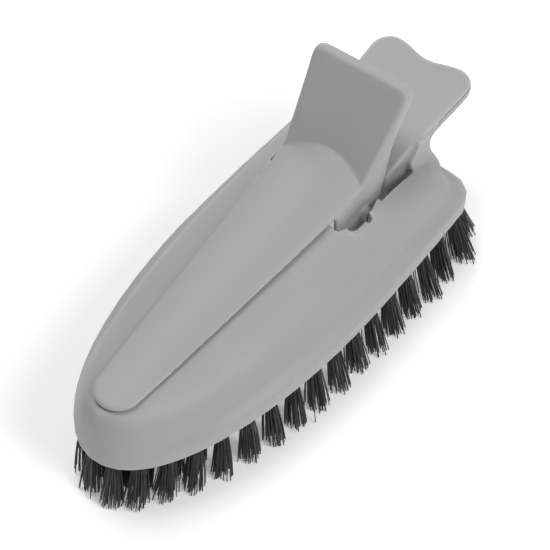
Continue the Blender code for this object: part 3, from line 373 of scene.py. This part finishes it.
def bristle_nylon(settings):
    """Dark nylon: each filament a little paler or darker than the next, with a soft sheen."""
    material, tree, shader = shader_nodes("dark_bristle_nylon")
    scuffed = shade(settings.color, 0.6)
    strand = noise(tree, object_place(tree, stretch=(1.0, 1.0, 0.04)), scale=900.0, detail=1.0)
    scuff = noise(tree, object_place(tree), scale=2200.0, detail=3.0)
    paleness = spread(tree, strand, low=0.0, high=1.0, from_low=0.42, from_high=0.72)
    tone = mixed(tree, paleness, settings.color, settings.pale_color)
    tone = mixed(tree, spread(tree, scuff, low=0.0, high=0.35), tone, scuffed)
    tree.links.new(tone, shader.inputs["Base Color"])
    tree.links.new(spread(tree, scuff, low=0.34, high=0.48), shader.inputs["Roughness"])
    shader.inputs["Sheen Weight"].default_value = 0.08
    shader.inputs["Sheen Roughness"].default_value = 0.5
    bumped(tree, shader, scuff, distance=0.00001, strength=0.4)
    return material


def drawn_steel(settings):
    """Spring steel with fine drawing marks and a faint straw tint in places."""
    material, tree, shader = shader_nodes("drawn_steel")
    straw = (0.96, 0.90, 0.80)
    warm = tuple(channel * share for channel, share in zip(settings.color, straw))
    marks = noise(tree, object_place(tree, stretch=(0.15, 1.0, 1.0)), scale=3800.0, detail=2.0)
    tint = noise(tree, object_place(tree), scale=240.0, detail=2.0)
    tone = mixed(tree, spread(tree, tint, low=0.0, high=0.6), settings.color, warm)
    tree.links.new(tone, shader.inputs["Base Color"])
    tree.links.new(spread(tree, marks, low=0.24, high=0.42), shader.inputs["Roughness"])
    shader.inputs["Metallic"].default_value = 1.0
    bumped(tree, shader, marks, distance=0.000015, strength=0.5)
    return material


def pale_floor(settings):
    """A matt pale paper floor."""
    material, tree, shader = shader_nodes("pale_floor")
    in_fibre = shade(settings.floor_color, 0.995)
    fibre = noise(tree, object_place(tree), scale=180.0, detail=4.0)
    tone = mixed(tree, spread(tree, fibre, low=0.0, high=1.0), in_fibre, settings.floor_color)
    tree.links.new(tone, shader.inputs["Base Color"])
    shader.inputs["Roughness"].default_value = 0.9
    shader.inputs["Specular IOR Level"].default_value = 0.1
    shader.inputs["Emission Color"].default_value = (1.0, 1.0, 1.0, 1.0)
    shader.inputs["Emission Strength"].default_value = settings.floor_glow
    return material


def dress(obj, material):
    obj.data.materials.clear()
    obj.data.materials.append(material)


def new_object(name, mesh):
    obj = bpy.data.objects.new(name, mesh)
    bpy.context.scene.collection.objects.link(obj)
    return obj


def joined_copy(node, name):
    """A copy of a CAD node's mesh whose triangles share their corners."""
    merge_distance = 0.000004
    work = bmesh.new()
    work.from_mesh(frame["nodes"][node].data)
    bmesh.ops.remove_doubles(work, verts=work.verts, dist=merge_distance)
    mesh = bpy.data.meshes.new(name)
    work.to_mesh(mesh)
    work.free()
    return mesh


def placed(mesh, points):
    """The mesh with its points moved there, and the normals that they then have."""
    mesh.vertices.foreach_set("co", points.astype(np.float32).ravel())
    mesh.update()
    normals = np.empty(len(points) * 3, dtype=np.float32)
    mesh.vertex_normals.foreach_get("vector", normals)
    return normals.reshape(-1, 3).astype(float)


def corner_points(points, edges, normals):
    """The points by a real edge: there the normals round about point different ways."""
    averaging, agreement = 12, 0.985
    normals = smoothed(normals, edges, averaging, np.ones(len(points)))
    return points[np.linalg.norm(normals, axis=1) < agreement]


def edge_highlight_share(points, edges, normals):
    """How far each point stands proud of those round about, as a share of the fullest painted edge highlight."""
    averaging, full = 14, 0.00020
    proud = ((points - smoothed(points, edges, averaging, np.ones(len(points)))) * normals).sum(axis=1)
    return np.clip(proud / full, 0.0, 1.0)


def distances(points, places):
    """How far each point lies from the nearest of the places."""
    tree = KDTree(len(places))
    for i, place in enumerate(places):
        tree.insert(place, i)
    tree.balance()
    return np.array([tree.find(point)[2] for point in points])


def eased(share):
    """A share from 0 to 1 that leaves 0 and reaches 1 gently."""
    return share * share * (3 - 2 * share)


def smoothed(points, edges, passes, weight):
    """Points drawn towards the middle of their neighbours, pass by pass, as much as their weight says."""
    pull = 0.5
    first, second = edges[:, 0], edges[:, 1]
    count = len(points)
    degree = np.bincount(first, minlength=count) + np.bincount(second, minlength=count)
    degree = np.maximum(degree, 1)[:, None]
    for _ in range(passes):
        total = np.stack(
            [
                np.bincount(first, points[second, k], count) + np.bincount(second, points[first, k], count)
                for k in range(3)
            ],
            axis=1,
        )
        points = points + (total / degree - points) * (weight * pull)[:, None]
    return points


def soft_moulding(node, name, grid, edge_passes, settings, fillets, fillet_passes):
    """A CAD moulding as one fine even mesh, with soft edges and faces free of facets.

    A fillet is a place and a reach, inside which every form melts into the next. It is full as far as a third
    of its reach and fades from there.
    """
    fade = 1.5
    source = joined_copy(node, name + "_source")
    rough = new_object(name + "_rough", source)
    remesh = rough.modifiers.new("even_grid", "REMESH")
    remesh.mode = "VOXEL"
    remesh.voxel_size = grid
    depsgraph = bpy.context.evaluated_depsgraph_get()
    mesh = bpy.data.meshes.new_from_object(rough.evaluated_get(depsgraph))
    bpy.data.objects.remove(rough)
    bpy.data.meshes.remove(source)
    mesh.name = name
    count = len(mesh.vertices)
    points = np.empty(count * 3)
    mesh.vertices.foreach_get("co", points)
    points = points.reshape(-1, 3)
    edges = np.empty(len(mesh.edges) * 2, dtype=np.int64)
    mesh.edges.foreach_get("vertices", edges)
    edges = edges.reshape(-1, 2)
    points = smoothed(points, edges, edge_passes, np.ones(count))
    away = distances(points, corner_points(points, edges, placed(mesh, points)))
    share = np.clip((away - settings.edge_band) / (settings.face_start - settings.edge_band), 0.0, 1.0)
    points = smoothed(points, edges, settings.face_passes, eased(share))
    melt = np.zeros(count)
    for place, reach in fillets:
        away = np.linalg.norm(points - np.array(place), axis=1)
        melt = np.maximum(melt, eased(np.clip(fade - fade * away / reach, 0.0, 1.0)))
    points = smoothed(points, edges, fillet_passes, melt)
    # How much painted edge highlight each point takes, kept on the mesh for the plastic material.
    rubbed = edge_highlight_share(points, edges, placed(mesh, points))
    mesh.attributes.new("rubbed", "FLOAT", "POINT").data.foreach_set("value", rubbed.astype(np.float32))
    mesh.shade_smooth()
    return new_object(name, mesh)


def wire_object(name, points, radius):
    """A round wire along a line of close points, as a mesh."""
    curve = bpy.data.curves.new(name + "_line", "CURVE")
    curve.dimensions = "3D"
    curve.bevel_depth = radius
    curve.bevel_resolution = 3
    curve.use_fill_caps = True
    spline = curve.splines.new("POLY")
    spline.points.add(len(points) - 1)
    for target, point in zip(spline.points, points):
        target.co = (*point, 1.0)
    holder = bpy.data.objects.new(name + "_holder", curve)
    bpy.context.scene.collection.objects.link(holder)
    depsgraph = bpy.context.evaluated_depsgraph_get()
    mesh = bpy.data.meshes.new_from_object(holder.evaluated_get(depsgraph))
    bpy.data.objects.remove(holder)
    bpy.data.curves.remove(curve)
    mesh.name = name
    mesh.shade_smooth()
    return new_object(name, mesh)


class CLIPBRUSH_OT_body(bpy.types.Operator):
    """Make the body moulding: rim, deck, neck and tail in one soft-edged shell"""

    bl_idname = "clip_brush.body"
    bl_label = "Body moulding"

    def execute(self, context):
        settings = context.scene.clip_brush_moulding
        body = soft_moulding(
            "body_shell", "body_moulding", settings.body_grid, settings.body_edge_passes, settings, self.fillets(),
            settings.fillet_passes,
        )
        self.roll_rim(body.data, settings)
        dress(body, moulded_plastic(settings))
        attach(body, "brush")
        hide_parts("body_shell")
        return {"FINISHED"}

    def fillets(self):
        """Where the neck flares out of the deck, and where the deck rolls over the nose."""
        neck, neck_reach = (0.0272, 0.0835, 0.0440), 0.0090
        nose, nose_reach = (0.0045, -0.1050, 0.0515), 0.0085
        shoulder, shoulder_reach = (0.0115, -0.1000, 0.0512), 0.0080
        melts = ((neck, neck_reach), (nose, nose_reach), (shoulder, shoulder_reach))
        return [((side * x, y, z), reach) for side in (1, -1) for (x, y, z), reach in melts]

    def roll_rim(self, mesh, settings):
        """Hollow the foot of the deck and swell the rim below it, on the upper side only."""
        foot, foot_spread = 0.0365, 0.0022
        rim, rim_spread = 0.0318, 0.0013
        level, steep = 0.15, 0.35
        count = len(mesh.vertices)
        points = np.empty(count * 3)
        mesh.vertices.foreach_get("co", points)
        points = points.reshape(-1, 3)
        normals = placed(mesh, points)
        upper = np.clip((normals[:, 2] - level) / (steep - level), 0.0, 1.0)
        hollow = np.exp(-(((points[:, 2] - foot) / foot_spread) ** 2))
        full = np.exp(-(((points[:, 2] - rim) / rim_spread) ** 2))
        swell = (settings.rim_fullness * full - settings.foot_hollow * hollow) * upper
        placed(mesh, points + normals * swell[:, None])


class CLIPBRUSH_OT_clip(bpy.types.Operator):
    """Make the clip moulding: tongue, thumb tab and cheeks"""

    bl_idname = "clip_brush.clip"
    bl_label = "Clip moulding"

    def execute(self, context):
        settings = context.scene.clip_brush_moulding
        clip = soft_moulding(
            "clip_lever", "clip_moulding", settings.lever_grid, settings.lever_edge_passes, settings, self.fillets(),
            settings.tab_passes,
        )
        dress(clip, bpy.data.materials["moulded_grey_plastic"])
        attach(clip, "lever")
        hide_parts("clip_lever")
        return {"FINISHED"}

    def fillets(self):
        """A row along the thumb tab's top edge, one at each top corner, and a row down each side edge."""
        top, top_step, top_count, top_reach = (-0.021, 0.0632, 0.0997), 0.003, 15, 0.0040
        corner, corner_reach = (0.0225, 0.0640, 0.0985), 0.0075
        edge, forward, down, edge_count, edge_reach = (0.0228, 0.0620, 0.0975), 0.0019, 0.003, 9, 0.0032
        fillets = [((top[0] + top_step * i, top[1], top[2]), top_reach) for i in range(top_count)]
        for side in (1, -1):
            fillets.append(((side * corner[0], corner[1], corner[2]), corner_reach))
            for i in range(edge_count):
                fillets.append(((side * edge[0], edge[1] - forward * i, edge[2] - down * i), edge_reach))
        return fillets


class CLIPBRUSH_OT_seam(bpy.types.Operator):
    """Lay the fine joint line along both sides of the tail"""

    bl_idname = "clip_brush.seam"
    bl_label = "Tail joint line"

    def execute(self, context):
        settings = context.scene.clip_brush_seam
        body = bpy.data.objects["body_moulding"]
        surface = BVHTree.FromObject(body, context.evaluated_depsgraph_get())
        material = joint_shadow(settings)
        for side, name in ((1, "tail_joint_right"), (-1, "tail_joint_left")):
            points = [self.on_side(surface, side, y, z, settings.width) for y, z in self.route(settings)]
            line = wire_object(name, points, settings.width / 2)
            dress(line, material)
            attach(line, "brush")
        return {"FINISHED"}

    def route(self, settings):
        """(Y, Z) along the line: round its hook, then back along the tail."""
        hook_steps, straight_steps = 7, 24
        hook_start, hook_sweep = math.radians(200), math.radians(110)
        middle = settings.height - settings.hook
        points = []
        for i in range(hook_steps + 1):
            angle = hook_start - hook_sweep * i / hook_steps
            y = settings.front + settings.hook * math.cos(angle)
            points.append((y, middle + settings.hook * math.sin(angle)))
        for i in range(1, straight_steps + 1):
            y = settings.front + (settings.rear - settings.front) * i / straight_steps
            points.append((y, settings.height + settings.rise * (y - settings.front)))
        return points

    def on_side(self, surface, side, y, z, width):
        """A place in the tail's side band, met from outside, into which the line is sunk by a share of its width."""
        sunk = 0.3
        start = Vector((side * CAD_BOX[1].x, y, z))
        hit = surface.ray_cast(start, Vector((-side, 0.0, 0.0)))[0]
        if hit is None:
            raise RuntimeError("the joint line misses the tail's side")
        return hit - Vector((side * width * sunk, 0.0, 0.0))


class CLIPBRUSH_OT_pin(bpy.types.Operator):
    """Turn the hinge pin, with domed ends"""

    bl_idname = "clip_brush.pin"
    bl_label = "Hinge pin"

    def execute(self, context):
        dome_share, dome_steps = 0.28, 4
        low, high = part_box("hinge_pin")
        radius = (high.z - low.z) / 2
        centre = (low + high) / 2
        half = (high.x - low.x) / 2
        dome = radius * dome_share
        profile = [(-half, 0.0)]
        for i in range(1, dome_steps + 1):
            angle = math.pi / 2 * i / dome_steps
            profile.append((-half + dome * (1 - math.cos(angle)), radius - dome + dome * math.sin(angle)))
        profile += [(-x, r) for x, r in reversed(profile)]
        pin = new_object("turned_hinge_pin", self.turned(profile, centre))
        dress(pin, drawn_steel(context.scene.clip_brush_steel))
        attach(pin, "brush")
        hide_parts("hinge_pin")
        return {"FINISHED"}

    def turned(self, profile, centre):
        """A mesh turned about X from (X, radius) pairs, the first and last of which lie on the axis."""
        sides = 40
        work = bmesh.new()
        rows = []
        for x, r in profile[1:-1]:
            row = []
            for i in range(sides):
                angle = 2 * math.pi * i / sides
                offset = Vector((x, r * math.cos(angle), r * math.sin(angle)))
                row.append(work.verts.new(centre + offset))
            rows.append(row)
        for near, far in zip(rows, rows[1:]):
            for i in range(sides):
                j = (i + 1) % sides
                work.faces.new((near[i], near[j], far[j], far[i]))
        work.faces.new(rows[0])
        work.faces.new(rows[-1][::-1])
        bmesh.ops.recalc_face_normals(work, faces=work.faces)
        mesh = bpy.data.meshes.new("turned_hinge_pin")
        work.to_mesh(mesh)
        work.free()
        mesh.shade_smooth()
        mesh.set_sharp_from_angle(angle=math.radians(50))
        return mesh


class CLIPBRUSH_OT_spring(bpy.types.Operator):
    """Wind the torsion spring round the pin, with a leg to the deck and a leg to the tab"""

    bl_idname = "clip_brush.spring"
    bl_label = "Torsion spring"

    def execute(self, context):
        settings = context.scene.clip_brush_steel
        spring = wire_object("wound_spring", self.route(settings), settings.wire / 2)
        dress(spring, bpy.data.materials["drawn_steel"])
        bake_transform(spring)
        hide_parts("torsion_spring")
        return {"FINISHED"}

    def route(self, settings):
        """The wire's middle line from the pin's middle: deck leg, coil and tab leg."""
        leg_steps, steps_in_turn = 6, 30
        deck_leg_inset, deck_leg_height = settings.wire * 0.12, 0.00624
        tab_leg_back, tab_leg_height, tab_angle = 0.00708, 0.02083, math.radians(143.9)
        span = settings.pitch * settings.turns
        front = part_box("torsion_spring")[0].y - HINGE.y
        deck_end = Vector((-span / 2, front + deck_leg_inset, deck_leg_height))
        tab_end = Vector((span / 2, tab_leg_back, tab_leg_height))
        sweep = 2 * math.pi * settings.turns + math.pi / 2 - tab_angle
        steps = round(steps_in_turn * sweep / (2 * math.pi))
        coil = []
        for i in range(steps + 1):
            angle = math.pi / 2 - sweep * i / steps
            across = -span / 2 + span * i / steps
            y, z = settings.coil_radius * math.cos(angle), settings.coil_radius * math.sin(angle)
            coil.append(Vector((across, y, z)))
        points = [deck_end.lerp(coil[0], i / leg_steps) for i in range(leg_steps)] + coil
        points += [coil[-1].lerp(tab_end, i / leg_steps) for i in range(1, leg_steps + 1)]
        return [HINGE + point for point in points]


def hole_of(node):
    """Mouth, inward axis, outward direction, lean and tip radius of a tuft, read from its CAD node."""
    plug_depth = 0.0063
    plug_from, tips_below = 0.028, 0.0001
    points = [vert.co for vert in frame["nodes"][node].data.vertices]
    tops = [point for point in points if point.z > plug_from]
    tips = [point for point in points if point.z < tips_below]
    if not tops or not tips:
        raise RuntimeError(f"{node} has no plug or no tips where they are expected")
    top = sum(tops, Vector()) / len(tops)
    tip = sum(tips, Vector()) / len(tips)
    spokes = np.array([point - top for point in tops])
    inward = Vector(np.linalg.svd(spokes)[2][2])
    inward = inward if inward.z > 0 else -inward
    out = Vector((-inward.x, -inward.y, 0.0)).normalized()
    mouth = top - inward * plug_depth
    reach = max((point - tip).length for point in tips)
    return mouth, inward, out, (tip - mouth).normalized(), reach


def filament(start, mouth, bend, tip, radius, turn):
    """Vertices and faces of one filament: straight in its hole, then a slight curve to its tip."""
    sides, steps = 5, 5
    line = [start]
    for i in range(steps):
        share = i / (steps - 1)
        line.append(mouth.lerp(bend, share).lerp(bend.lerp(tip, share), share))
    points = []
    for i, place in enumerate(line):
        run = (line[min(i + 1, len(line) - 1)] - line[max(i - 1, 0)]).normalized()
        side = run.orthogonal().normalized()
        other = run.cross(side)
        for k in range(sides):
            angle = turn + 2 * math.pi * k / sides
            points.append(place + (side * math.cos(angle) + other * math.sin(angle)) * radius)
    faces = []
    for i in range(len(line) - 1):
        for k in range(sides):
            j = (k + 1) % sides
            low, high = i * sides, (i + 1) * sides
            faces.append((low + k, low + j, high + j, high + k))
    last = (len(line) - 1) * sides
    faces.append(tuple(range(last, last + sides)))
    faces.append(tuple(range(sides - 1, -1, -1)))
    return points, faces


def tuft_mesh(name, node, settings, chance):
    """All filaments of one tuft, packed in its hole and fanned out to ragged tips."""
    golden, start_depth = math.radians(137.508), 0.0058
    lean_aside, lean_out = settings.stray * 0.8, settings.stray * 0.5
    wild_share, wildness = 0.08, 2.2
    bend_share, bend_stray = 0.33, settings.stray * 0.3
    highest_tip = settings.raggedness * 3
    mouth, inward, out, axis, tip_reach = hole_of(node)
    side = out.cross(inward).normalized()
    front = inward.cross(side)
    turn = chance.uniform(0, 2 * math.pi)
    leaning = side * chance.gauss(0, lean_aside) + out * chance.gauss(0, lean_out)
    points, faces = [], []
    for i in range(settings.filaments):
        reach = settings.root_radius * math.sqrt((i + 0.5) / settings.filaments)
        angle = turn + golden * i
        offset = (side * math.cos(angle) + front * math.sin(angle)) * reach
        root = mouth + offset
        stray = settings.stray * (1.0 if chance.random() > wild_share else wildness)
        aim = offset * (tip_reach / settings.root_radius) + leaning
        aim += side * chance.gauss(0, stray) + out * chance.gauss(0, stray)
        height = min(abs(chance.gauss(0, settings.raggedness)), highest_tip)
        goal = mouth + aim + axis * (mouth.z / -axis.z)
        run = goal - root
        tip = root + run * ((root.z - height) / -run.z)
        bend = root - inward * (run.length * bend_share) + (aim - offset) * settings.early_fan
        bend += side * chance.gauss(0, bend_stray) + out * chance.gauss(0, bend_stray)
        made, skin = filament(
            root + inward * start_depth, root, bend, tip, settings.diameter / 2, chance.uniform(0, 1)
        )
        base = len(points)
        points += made
        faces += [tuple(base + k for k in face) for face in skin]
    mesh = bpy.data.meshes.new(name)
    mesh.from_pydata(points, [], faces)
    mesh.update()
    mesh.shade_smooth()
    mesh.set_sharp_from_angle(angle=math.radians(75))
    return mesh


class CLIPBRUSH_OT_tufts(bpy.types.Operator):
    """Fill every hole of the rim with its tuft of fanned nylon filaments"""

    bl_idname = "clip_brush.tufts"
    bl_label = "Bristle tufts"

    def execute(self, context):
        settings = context.scene.clip_brush_tufts
        material = bristle_nylon(settings)
        for index, node in enumerate(TUFT_NODES):
            chance = random.Random(settings.seed * 1000 + index)
            name = node.replace("tuft", "bristles")
            tuft = new_object(name, tuft_mesh(name, node, settings, chance))
            dress(tuft, material)
            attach(tuft, "brush")
            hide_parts(node)
        return {"FINISHED"}


def soft_light(name, place, target, size, power):
    """A round soft light that stands at a place and shines at its target."""
    data = bpy.data.lights.new(name, "AREA")
    data.shape = "DISK"
    data.size = size
    data.energy = power
    light = bpy.data.objects.new(name, data)
    light.location = place
    light.rotation_mode = "QUATERNION"
    light.rotation_quaternion = (Vector(target) - Vector(place)).to_track_quat("-Z", "Y")
    bpy.context.scene.collection.objects.link(light)


class CLIPBRUSH_OT_stage(bpy.types.Operator):
    """Set up the pale floor, the soft lights and the camera"""

    bl_idname = "clip_brush.stage"
    bl_label = "Studio and camera"

    def execute(self, context):
        settings = context.scene.clip_brush_stage
        self.add_floor(settings)
        self.add_lights(context, settings)
        self.add_camera(context, settings)
        return {"FINISHED"}

    def add_floor(self, settings):
        reach, cells, drop = 6.0, 12, 0.0001
        work = bmesh.new()
        bmesh.ops.create_grid(work, x_segments=cells, y_segments=cells, size=reach)
        bmesh.ops.translate(work, vec=(0.0, 0.0, -drop), verts=work.verts)
        mesh = bpy.data.meshes.new("floor")
        work.to_mesh(mesh)
        work.free()
        floor = new_object("floor", mesh)
        dress(floor, pale_floor(settings))

    def add_lights(self, context, settings):
        world = bpy.data.worlds.new("surround")
        world.use_nodes = True
        background = world.node_tree.nodes["Background"]
        background.inputs["Color"].default_value = (1.0, 1.0, 1.0, 1.0)
        background.inputs["Strength"].default_value = settings.surround
        context.scene.world = world
        context.scene.view_settings.view_transform = "Standard"
        brush_middle, size = (0.0, 0.0, 0.03), 0.8
        places = {"right": (1.11, 0.0, 1.03), "top": (-0.44, 0.0, 1.46), "rear": (-0.96, 0.96, 0.66)}
        for name, place in places.items():
            soft_light(f"{name}_light", place, brush_middle, size, getattr(settings, name))

    def add_camera(self, context, settings):
        data = bpy.data.cameras.new("camera")
        data.sensor_width = 36.0
        data.lens = settings.lens
        camera = bpy.data.objects.new("camera", data)
        place, target = Vector(settings.camera_place), Vector(settings.camera_target)
        camera.location = place
        camera.rotation_mode = "QUATERNION"
        camera.rotation_quaternion = (target - place).to_track_quat("-Z", "Y")
        context.scene.collection.objects.link(camera)
        context.scene.camera = camera


SETTINGS = {
    "clip_brush_moulding": MouldingSettings,
    "clip_brush_seam": SeamSettings,
    "clip_brush_tufts": TuftSettings,
    "clip_brush_steel": SteelSettings,
    "clip_brush_stage": StageSettings,
}
OPERATORS = (
    CLIPBRUSH_OT_body,
    CLIPBRUSH_OT_clip,
    CLIPBRUSH_OT_seam,
    CLIPBRUSH_OT_pin,
    CLIPBRUSH_OT_spring,
    CLIPBRUSH_OT_tufts,
    CLIPBRUSH_OT_stage,
)


class CLIPBRUSH_PT_panel(bpy.types.Panel):
    """The pieces of the clip brush, in the order in which they are made"""

    bl_idname = "CLIPBRUSH_PT_panel"
    bl_label = "Clip brush"
    bl_space_type = "VIEW_3D"
    bl_region_type = "UI"
    bl_category = "Clip brush"

    def draw(self, context):
        for operator in OPERATORS:
            self.layout.operator(operator.bl_idname)
        for name, group in SETTINGS.items():
            box = self.layout.box()
            box.label(text=group.__doc__)
            for key in group.__annotations__:
                box.prop(getattr(context.scene, name), key)


CLASSES = (*SETTINGS.values(), *OPERATORS, CLIPBRUSH_PT_panel)


def register():
    for item in CLASSES:
        bpy.utils.register_class(item)
    for name, group in SETTINGS.items():
        setattr(bpy.types.Scene, name, PointerProperty(type=group))


def unregister():
    for name in SETTINGS:
        delattr(bpy.types.Scene, name)
    for item in reversed(CLASSES):
        bpy.utils.unregister_class(item)


def main():
    register()
    bpy.ops.clip_brush.body()
    bpy.ops.clip_brush.clip()
    bpy.ops.clip_brush.seam()
    bpy.ops.clip_brush.pin()
    bpy.ops.clip_brush.spring()
    bpy.ops.clip_brush.tufts()
    bpy.ops.clip_brush.stage()


if __name__ == "__main__":
    main()
